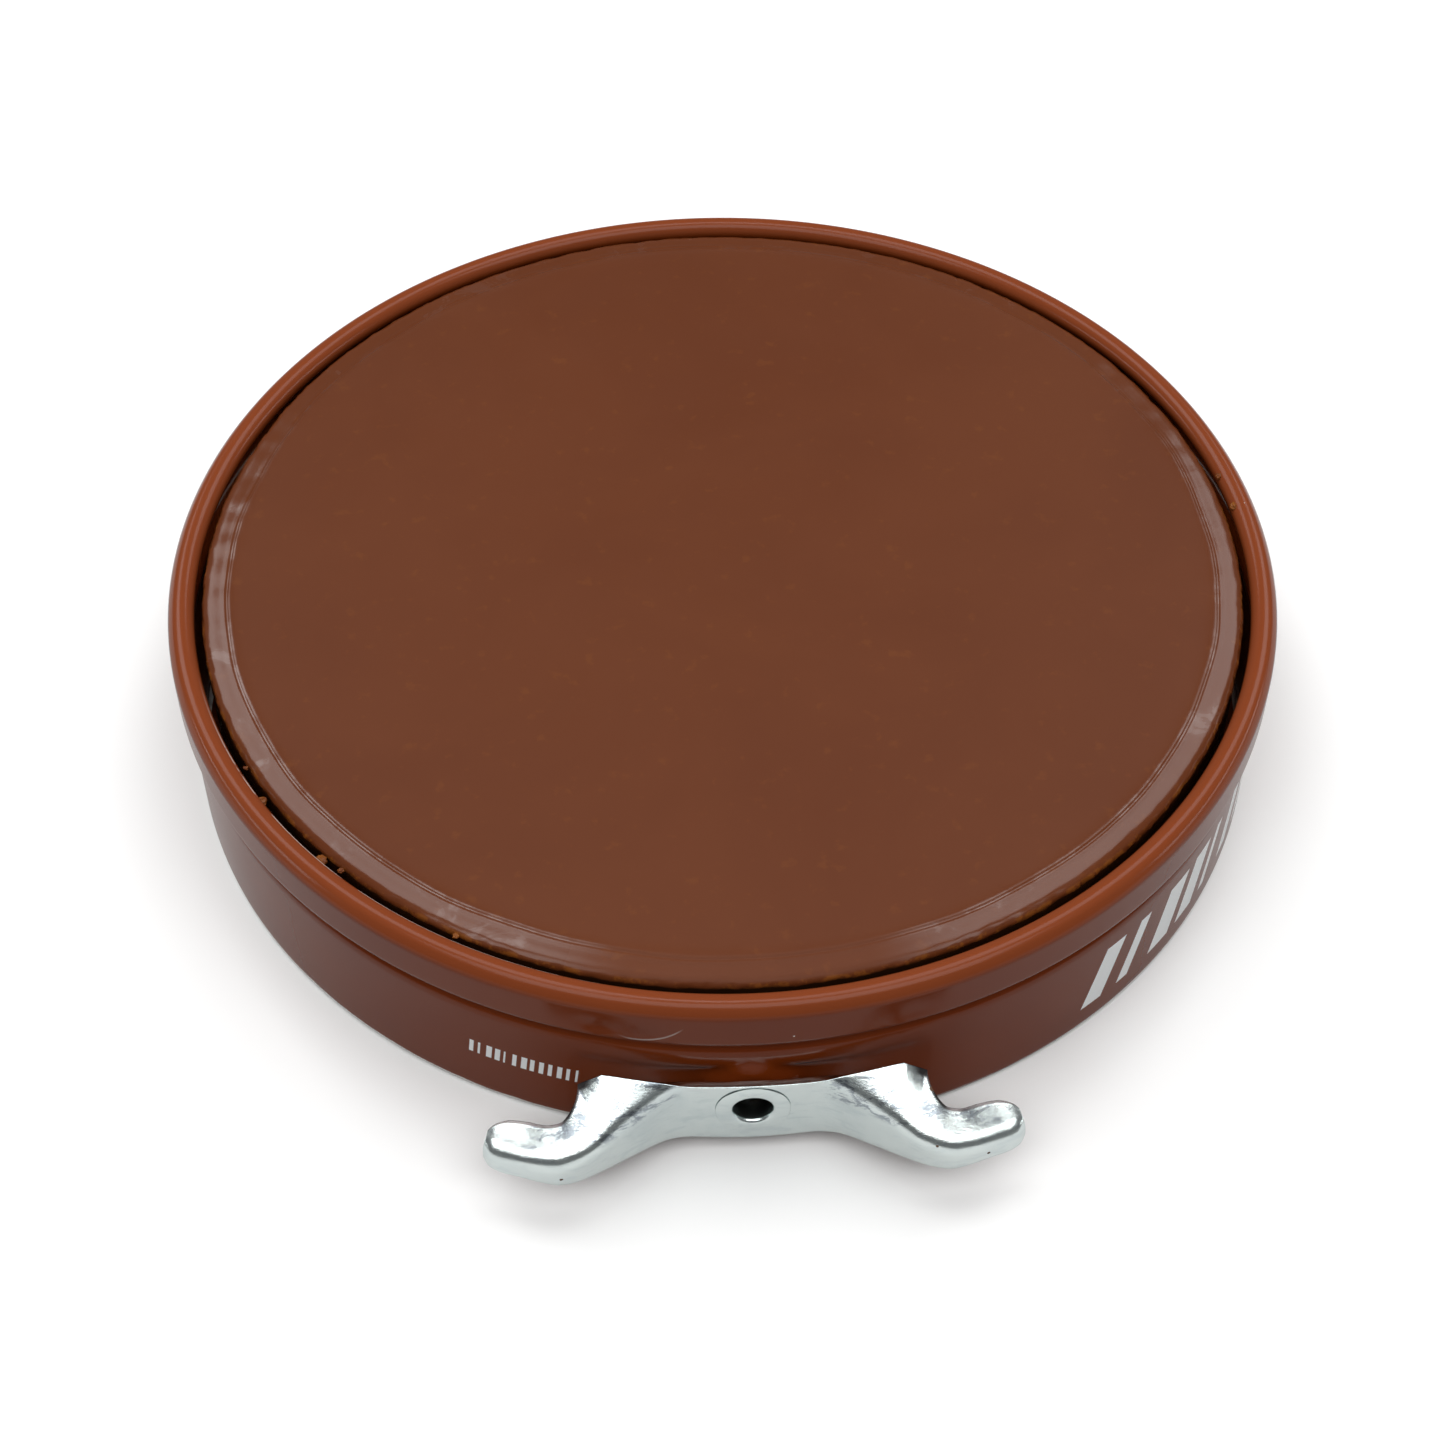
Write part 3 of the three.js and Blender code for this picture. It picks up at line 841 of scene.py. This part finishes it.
def weather_cake(obj, sizes):
    """Makes the cake's shoulder uneven and its edge ragged."""
    radius = sizes.cake_radius / MM
    top = sizes.cake_height / MM
    flat_middle, underside = 10.0, 2.0
    for vertex in obj.data.vertices:
        x, y, z = vertex.co / MM
        out = hypot(x, y)
        if out < flat_middle or z < underside:
            continue
        turn = Vector((x, y, 0)).normalized()
        slow = noise.noise(turn * 5.0)
        medium = noise.noise(turn * 26.0 + Vector((4, 0, 0)))
        quick = noise.noise(Vector((x, y, z)) * 1.3)
        fine = noise.noise(Vector((x, y, z)) * 3.1)
        on_shoulder = smooth(33.4, 34.6, out) * smooth(top - 3.0, top - 0.5, z)
        ragged = smooth(35.6, 36.2, out) * smooth(top - 2.5, top - 0.4, z)
        crest = smooth(34.0, 34.3, out) * (1 - smooth(34.7, 35.4, out))
        settled = smooth(12.0, 1.0, radius - out) * (1 - smooth(top - 1.5, top - 0.5, z))
        inward = ragged * (0.1 * abs(quick) + 0.12 * abs(fine) + 0.05 * medium)
        inward += 0.22 * crest * slow + 0.05 * settled
        down = on_shoulder * (0.05 * slow + 0.03 * medium + 0.02) + 0.05 * ragged * abs(fine)
        vertex.co.x -= turn.x * inward * MM
        vertex.co.y -= turn.y * inward * MM
        vertex.co.z -= down * MM


class POLISH_TIN_OT_cake(bpy.types.Operator):
    """Spin the polish cake and make its shoulder uneven"""

    bl_idname = "polish_tin.cake"
    bl_label = "Polish Cake"

    def execute(self, context):
        sizes = context.scene.polish_tin_sizes
        cake = spun(
            "Polish_Cake",
            cake_section(sizes),
            CAKE_STEPS,
            (0, 0, 0),
            (0, 0, 1),
            lambda r, z: (r * MM, 0, z * MM),
        )
        weather_cake(cake, sizes)
        material = wax_material(context.scene.polish_tin_colours)
        finish_piece(cake, material, "polish_cake", "tin", 60)
        return {"FINISHED"}


# ---- opener key ---------------------------------------------------------------------

# One half of the key, from the middle of its web to a wing tip. Each row crosses the sheet:
# its upper edge, its fold and its lower edge, as (sideways, outward, up) in millimetres
# from the middle of the web's thickness at the rivet.
KEY_ROWS = (
    ((0.0, 0.0, 2.5), (0.0, 0.0, 0.0), (0.0, 0.0, -3.2)),
    ((2.4, -0.05, 2.5), (2.4, -0.05, 0.6), (2.2, -0.05, -3.15)),
    ((4.6, -0.15, 2.6), (5.0, 0.0, 2.0), (4.1, -0.05, -2.95)),
    ((7.0, -0.35, 2.9), (7.2, 1.2, 1.7), (5.6, 0.35, -2.65)),
    ((9.4, -0.6, 3.3), (8.9, 2.4, 1.3), (7.5, 1.5, -2.3)),
    ((10.9, -0.5, 2.5), (10.2, 3.4, 0.95), (9.3, 2.65, -2.0)),
    ((11.2, 0.7, 2.0), (11.3, 3.9, 0.8), (11.0, 3.65, -1.7)),
    ((11.9, 1.6, 1.5), (12.3, 4.1, 0.7), (12.3, 4.05, -1.5)),
    ((12.9, 1.75, 1.35), (13.3, 3.95, 0.6), (13.5, 3.9, -1.3)),
    ((14.1, 1.35, 1.2), (14.5, 3.6, 0.55), (14.7, 3.6, -1.1)),
    ((15.3, 1.1, 1.1), (15.6, 3.15, 0.5), (15.8, 3.3, -1.0)),
    ((16.1, 1.25, 1.0), (16.4, 2.8, 0.5), (16.5, 2.95, -0.85)),
    ((16.6, 1.55, 0.8), (16.8, 2.25, 0.5), (16.85, 2.45, -0.5)),
)
SHARP_ROWS = (4, 5)  # rows from the middle whose upper edge turns a sharp corner
KEY_FOLD = 0.75  # how far from the fold line its rounding starts
FOLD_STEPS = 6
PLATE_STEPS = 4
ROW_STEPS = 5
CURVE_PULL = 0.85  # how strongly a curve follows its direction at each row
KEY_HOLE = 1.8  # radius
EDGE_ROUNDING = 0.09


def across_key(row):
    """Points across one row of the key, with the fold rounded off."""
    top, bend, foot = (Vector(place) for place in row)

    def towards(end):
        way = end - bend
        return bend + way.normalized() * min(KEY_FOLD, way.length / 2)

    above, below = towards(top), towards(foot)
    points = [top.lerp(above, i / PLATE_STEPS) for i in range(PLATE_STEPS)]
    for i in range(FOLD_STEPS + 1):
        share = i / FOLD_STEPS
        points.append(above.lerp(bend, share).lerp(bend.lerp(below, share), share))
    points += [below.lerp(foot, i / PLATE_STEPS) for i in range(1, PLATE_STEPS + 1)]
    return points


def cornered(row, column):
    """1 where a given row turns a sharp corner of the upper edge, fading towards the fold."""
    sharp = abs(row - len(KEY_ROWS) + 1) in SHARP_ROWS
    return max(1 - column / PLATE_STEPS, 0.0) if sharp else 0.0


def curve_point(before, start, end, after, share, corners):
    """A point a share of the way from start to end, on a curve that heads past both."""
    straight = (end - start).normalized()
    reach = (end - start).length * CURVE_PULL
    leave = (end - before).normalized().lerp(straight, corners[0]) * reach
    arrive = (after - start).normalized().lerp(straight, corners[1]) * reach
    a, b = share**2 * (3 - 2 * share), share * (1 - share)
    return start.lerp(end, a) + leave * b * (1 - share) - arrive * b * share


def eased(rows):
    """Rows filled in between with curves that pass through every given row."""
    filled = []
    last = len(rows) - 1
    for r in range(last):
        before, after = rows[max(r - 1, 0)], rows[min(r + 2, last)]
        for step in range(ROW_STEPS):
            row = []
            for c, (start, end) in enumerate(zip(rows[r], rows[r + 1])):
                corners = cornered(r, c), cornered(r + 1, c)
                row.append(curve_point(before[c], start, end, after[c], step / ROW_STEPS, corners))
            filled.append(row)
    return filled + [rows[last]]


def key_surface(name, sizes):
    """A grid whose points lie on the middle of the key's sheet."""
    half = [across_key(row) for row in KEY_ROWS]
    mirrored = [[Vector((-p.x, p.y, p.z)) for p in row] for row in reversed(half[1:])]
    rows = eased(mirrored + half)
    lines, columns = len(rows) - 1, len(rows[0]) - 1
    bpy.ops.object.select_all(action="DESELECT")
    bpy.ops.mesh.primitive_grid_add(x_subdivisions=lines, y_subdivisions=columns, size=1.0)
    key = bpy.context.object
    key.name = key.data.name = name
    middle = sizes.key_back + sizes.key_sheet / 2
    upper = set()
    for vertex in key.data.vertices:
        row = rows[round((vertex.co.x + 0.5) * lines)]
        column = round((vertex.co.y + 0.5) * columns)
        place = row[column]
        if column == 0:
            upper.add(vertex.index)
        vertex.co = (place.x * MM, -(place.y * MM + middle), place.z * MM + KEY_AXIS_Z)
    edge = key.data.attributes.new("Upper Edge", "FLOAT", "POINT")
    for vertex in key.data.vertices:
        edge.data[vertex.index].value = 1.0 if vertex.index in upper else 0.0
    return key


class POLISH_TIN_OT_key(bpy.types.Operator):
    """Shape the folded sheet of the opener key"""

    bl_idname = "polish_tin.key"
    bl_label = "Opener Key"

    def execute(self, context):
        sizes = context.scene.polish_tin_sizes
        key = only(key_surface("Opener_Key", sizes))
        bpy.ops.object.mode_set(mode="EDIT")
        bpy.ops.mesh.select_all(action="SELECT")
        bpy.ops.mesh.normals_make_consistent(inside=False)
        bpy.ops.object.mode_set(mode="OBJECT")
        modify(key, "SOLIDIFY", thickness=sizes.key_sheet, offset=0.0)
        modify(
            key,
            "BEVEL",
            width=EDGE_ROUNDING * MM,
            segments=3,
            limit_method="ANGLE",
            angle_limit=radians(50),
        )
        back = sizes.key_back
        drill(key, KEY_HOLE * MM, back - MM, back + sizes.key_sheet + MM)
        material = zinc_material(context.scene.polish_tin_colours)
        finish_piece(key, material, "opener_key", "opener")
        return {"FINISHED"}


# ---- rivet --------------------------------------------------------------------------

# sizes of the rivet in millimetres
RIVET_STEPS = 96  # faces round the rivet
RIVET_BORE, RIVET_BARREL = 1.25, 1.5  # radii
RIVET_HEAD = 2.4  # radius of the thin flange on the front of the key
CLENCHED_RADIUS, CLENCHED_DEPTH = 2.1, 0.3  # the end turned over inside the pan
LIP = 0.3  # radius of the rounded lip of the bore


def rivet_section(sizes):
    """The rivet's closed outline as (radius, distance from the tin's axis)."""
    front = (sizes.key_back + sizes.key_sheet) / MM + 0.01
    back = -RIVET_HIGH.y / MM
    turned, inner = CLENCHED_RADIUS, back + CLENCHED_DEPTH
    outline = [(RIVET_BORE, back + 0.1), (RIVET_BORE + 0.1, back)]
    outline += [(turned - 0.1, back), (turned, back + 0.1), (turned, inner - 0.1), (turned - 0.1, inner)]
    outline += [(RIVET_BARREL, inner), (RIVET_BARREL, front)]
    outline += [(RIVET_HEAD - 0.03, front), (RIVET_HEAD, front + 0.02), (RIVET_HEAD - 0.03, front + 0.05)]
    outline += [(RIVET_HEAD - 0.15, front + 0.07), (2.0, front + 0.1), (1.8, front + 0.11)]
    outline += arc(RIVET_BORE + LIP, front - 0.19, LIP, 80, 180, 8)
    outline += [(RIVET_BORE, front - 0.6), (RIVET_BORE, back + 0.6), (RIVET_BORE, back + 0.1)]
    return outline


class POLISH_TIN_OT_rivet(bpy.types.Operator):
    """Spin the hollow rivet that the key turns on"""

    bl_idname = "polish_tin.rivet"
    bl_label = "Hollow Rivet"

    def execute(self, context):
        sizes = context.scene.polish_tin_sizes
        rivet = spun(
            "Hollow_Rivet",
            rivet_section(sizes),
            RIVET_STEPS,
            (0, 0, KEY_AXIS_Z),
            (0, 1, 0),
            lambda r, out: (r * MM, -out * MM, KEY_AXIS_Z),
        )
        material = zinc_material(context.scene.polish_tin_colours, "Rivet Zinc", 0.6)
        finish_piece(rivet, material, "hollow_rivet", "tin")
        return {"FINISHED"}


# ---- crumbs of polish ---------------------------------------------------------------

# turn from the front in degrees, then distance from the axis, height and size in millimetres
CRUMBS = (
    (-57.0, 36.85, 13.75, 0.32),
    (-47.0, 36.8, 13.7, 0.36),
    (-44.5, 36.5, 13.75, 0.2),
    (-62.0, 36.45, 13.7, 0.16),
    (96.0, 37.0, 13.95, 0.3),
    (101.0, 36.95, 13.9, 0.26),
    (-30.0, 36.4, 13.7, 0.2),
)
CRUMB_FLATNESS = 0.6


def lumpy(crumb, number, place):
    """Makes a ball lumpy and pitted, flattens it and moves it to its place."""
    for vertex in crumb.data.vertices:
        way = vertex.co.normalized()
        lump = noise.noise(way * 1.7 + Vector((number * 7.3, 0, 0)))
        pit = noise.noise(way * 5.0 + Vector((0, number * 3.1, 0)))
        vertex.co *= 1 + 0.45 * lump + 0.14 * pit
        vertex.co.z *= CRUMB_FLATNESS
        vertex.co += place


class POLISH_TIN_OT_crumbs(bpy.types.Operator):
    """Scatter the crumbs of polish that stick to the rim"""

    bl_idname = "polish_tin.crumbs"
    bl_label = "Polish Crumbs"

    def execute(self, context):
        made = []
        for number, (turn, out, height, size) in enumerate(CRUMBS):
            place = Vector((out * sin(radians(turn)), -out * cos(radians(turn)), height)) * MM
            bpy.ops.object.select_all(action="DESELECT")
            bpy.ops.mesh.primitive_ico_sphere_add(subdivisions=4, radius=size * MM)
            crumb = bpy.context.object
            lumpy(crumb, number, place)
            made.append(crumb)
        bpy.ops.object.select_all(action="DESELECT")
        for crumb in made:
            crumb.select_set(True)
        bpy.context.view_layer.objects.active = made[0]
        bpy.ops.object.join()
        crumbs = made[0]
        crumbs.name = crumbs.data.name = "Polish_Crumbs"
        material = wax_material(context.scene.polish_tin_colours, "Polish Crumbs", True)
        finish_piece(crumbs, material, None, "tin", 180)
        return {"FINISHED"}


# ---- stage --------------------------------------------------------------------------

TABLE_SIZE = 6.0
TABLE_BOUNCE = 0.35  # share of its colour that the table throws back on the tin
TABLE_SHADOW_SHARE = 0.9  # share of its colour that shows close round the tin, as a painted shadow
PAINTED_SHADOW_REACH = (0.045, 0.12)  # metres from the tin's axis over which the painted shadow fades and the table brightens
GLOW_REACH = (0.1, 0.4)  # and over which a painted glow, seen only by the camera, fades it into the white room
ROOM_LIGHT = (0.155, 0.157, 0.16)

# name, place, size across and along in metres, and power in watts
SOFTBOXES = (
    ("Top Softbox", (0, -0.4, 0.86), (1.3, 0.55), 7.4),
    ("Left Softbox", (-0.28, 0.34, 0.7), (0.35, 0.8), 3.4),
    ("Right Softbox", (0.28, 0.34, 0.7), (0.35, 0.8), 3.0),
    ("Left Strip", (-0.8, 0.05, 0.18), (0.5, 0.1), 0.8),
    ("Right Strip", (0.8, 0.05, 0.18), (0.5, 0.1), 0.8),
)

SENSOR_WIDTH, FOCAL_LENGTH = 36.0, 68.15
CAMERA_PLACE = (-0.006586, -0.134669, 0.150844)
CAMERA_LOOKS = (0.03219, 0.65817, -0.75218)


def scaled(share, rgb):
    return tuple(share * part for part in rgb)


def floor_material(colours):
    """A pale table top that shows brighter than the light it throws back on the tin, with a painted
    shadow close round the tin and a painted glow, seen only by the camera, further out.
    """
    material, graph, shader, where = new_material(
        "Pale Table", Specular_IOR_Level=0.1, Emission_Strength=1.0
    )
    rays = graph.add("ShaderNodeLightPath").outputs
    seen = graph.most(rays["Is Camera Ray"], graph.times(rays["Is Glossy Ray"], 0.6))
    away = graph.add("ShaderNodeVectorMath", {0: where}, operation="LENGTH").outputs["Value"]
    mottle = graph.noise(where, 30.0, 3.0)
    # painted shadow: the table's colour is darker close round the tin
    shadowed_floor = opaque(scaled(TABLE_SHADOW_SHARE, colours.floor))
    pale = graph.mix(graph.span(away, *PAINTED_SHADOW_REACH), shadowed_floor, opaque(colours.floor))
    pale = graph.mix(graph.times(mottle, 0.03), pale, (0.8, 0.8, 0.8, 1.0))
    bounce = opaque(scaled(TABLE_BOUNCE, colours.floor))
    graph.feed(shader.inputs["Base Color"], graph.mix(seen, bounce, pale))
    # painted glow: the table glows for the camera away from the tin
    glow = graph.mix(graph.span(away, *GLOW_REACH), BLACK, WHITE)
    graph.feed(shader.inputs["Emission Color"], graph.mix(rays["Is Camera Ray"], BLACK, glow))
    graph.feed(shader.inputs["Roughness"], graph.plus(graph.times(mottle, 0.1), 0.75))
    return material


def softbox(name, place, size, power):
    """A rectangular soft light at place, facing the middle of the tin's base."""
    light = bpy.data.lights.new(name, "AREA")
    light.shape = "RECTANGLE"
    light.size, light.size_y = size
    light.energy = power
    lamp = bpy.data.objects.new(name, light)
    bpy.context.scene.collection.objects.link(lamp)
    lamp.location = place
    facing = Vector((0, 0, 0)) - Vector(place)
    lamp.rotation_euler = facing.to_track_quat("-Z", "Y").to_euler()


class POLISH_TIN_OT_stage(bpy.types.Operator):
    """Set the pale table, the soft lights and the camera"""

    bl_idname = "polish_tin.stage"
    bl_label = "Stage"

    def execute(self, context):
        scene = context.scene
        bpy.ops.object.select_all(action="DESELECT")
        bpy.ops.mesh.primitive_plane_add(size=TABLE_SIZE)
        floor = bpy.context.object
        floor.name = "Table"
        floor.data.materials.append(floor_material(scene.polish_tin_colours))

        world = bpy.data.worlds.new("Studio")
        world.use_nodes = True
        sky = Graph(world.node_tree)
        camera_ray = sky.add("ShaderNodeLightPath").outputs["Is Camera Ray"]
        background = world.node_tree.nodes["Background"]
        sky.feed(background.inputs["Color"], sky.mix(camera_ray, opaque(ROOM_LIGHT), WHITE))
        scene.world = world

        for light in SOFTBOXES:
            softbox(*light)

        lens = bpy.data.cameras.new("Camera")
        lens.sensor_width = SENSOR_WIDTH
        lens.lens = FOCAL_LENGTH
        lens.clip_start = 0.01
        camera = bpy.data.objects.new("Camera", lens)
        scene.collection.objects.link(camera)
        camera.location = CAMERA_PLACE
        camera.rotation_euler = Vector(CAMERA_LOOKS).to_track_quat("-Z", "Y").to_euler()
        scene.camera = camera
        scene.view_settings.view_transform = "Standard"
        return {"FINISHED"}


# ---- add-on -------------------------------------------------------------------------


class POLISH_TIN_PT_panel(bpy.types.Panel):
    """Lists the tin's sizes, colours and pieces"""

    bl_idname = "POLISH_TIN_PT_panel"
    bl_label = "Shoe Polish Tin"
    bl_space_type = "VIEW_3D"
    bl_region_type = "UI"
    bl_category = "Polish Tin"

    def draw(self, context):
        layout = self.layout
        for settings in (context.scene.polish_tin_sizes, context.scene.polish_tin_colours):
            column = layout.column()
            for name in settings.__annotations__:
                column.prop(settings, name)
        for operator in OPERATORS:
            layout.operator(operator.bl_idname)


OPERATORS = (
    POLISH_TIN_OT_pan,
    POLISH_TIN_OT_cake,
    POLISH_TIN_OT_key,
    POLISH_TIN_OT_rivet,
    POLISH_TIN_OT_crumbs,
    POLISH_TIN_OT_stage,
)
CLASSES = (PolishTinSizes, PolishTinColours, *OPERATORS, POLISH_TIN_PT_panel)


def register():
    for cls in CLASSES:
        bpy.utils.register_class(cls)
    bpy.types.Scene.polish_tin_sizes = bpy.props.PointerProperty(type=PolishTinSizes)
    bpy.types.Scene.polish_tin_colours = bpy.props.PointerProperty(type=PolishTinColours)


def unregister():
    del bpy.types.Scene.polish_tin_colours
    del bpy.types.Scene.polish_tin_sizes
    for cls in reversed(CLASSES):
        bpy.utils.unregister_class(cls)


def main():
    """Builds the tin and its stage."""
    register()
    bpy.ops.polish_tin.pan()
    bpy.ops.polish_tin.cake()
    bpy.ops.polish_tin.key()
    bpy.ops.polish_tin.rivet()
    bpy.ops.polish_tin.crumbs()
    bpy.ops.polish_tin.stage()


if __name__ == "__main__":
    main()
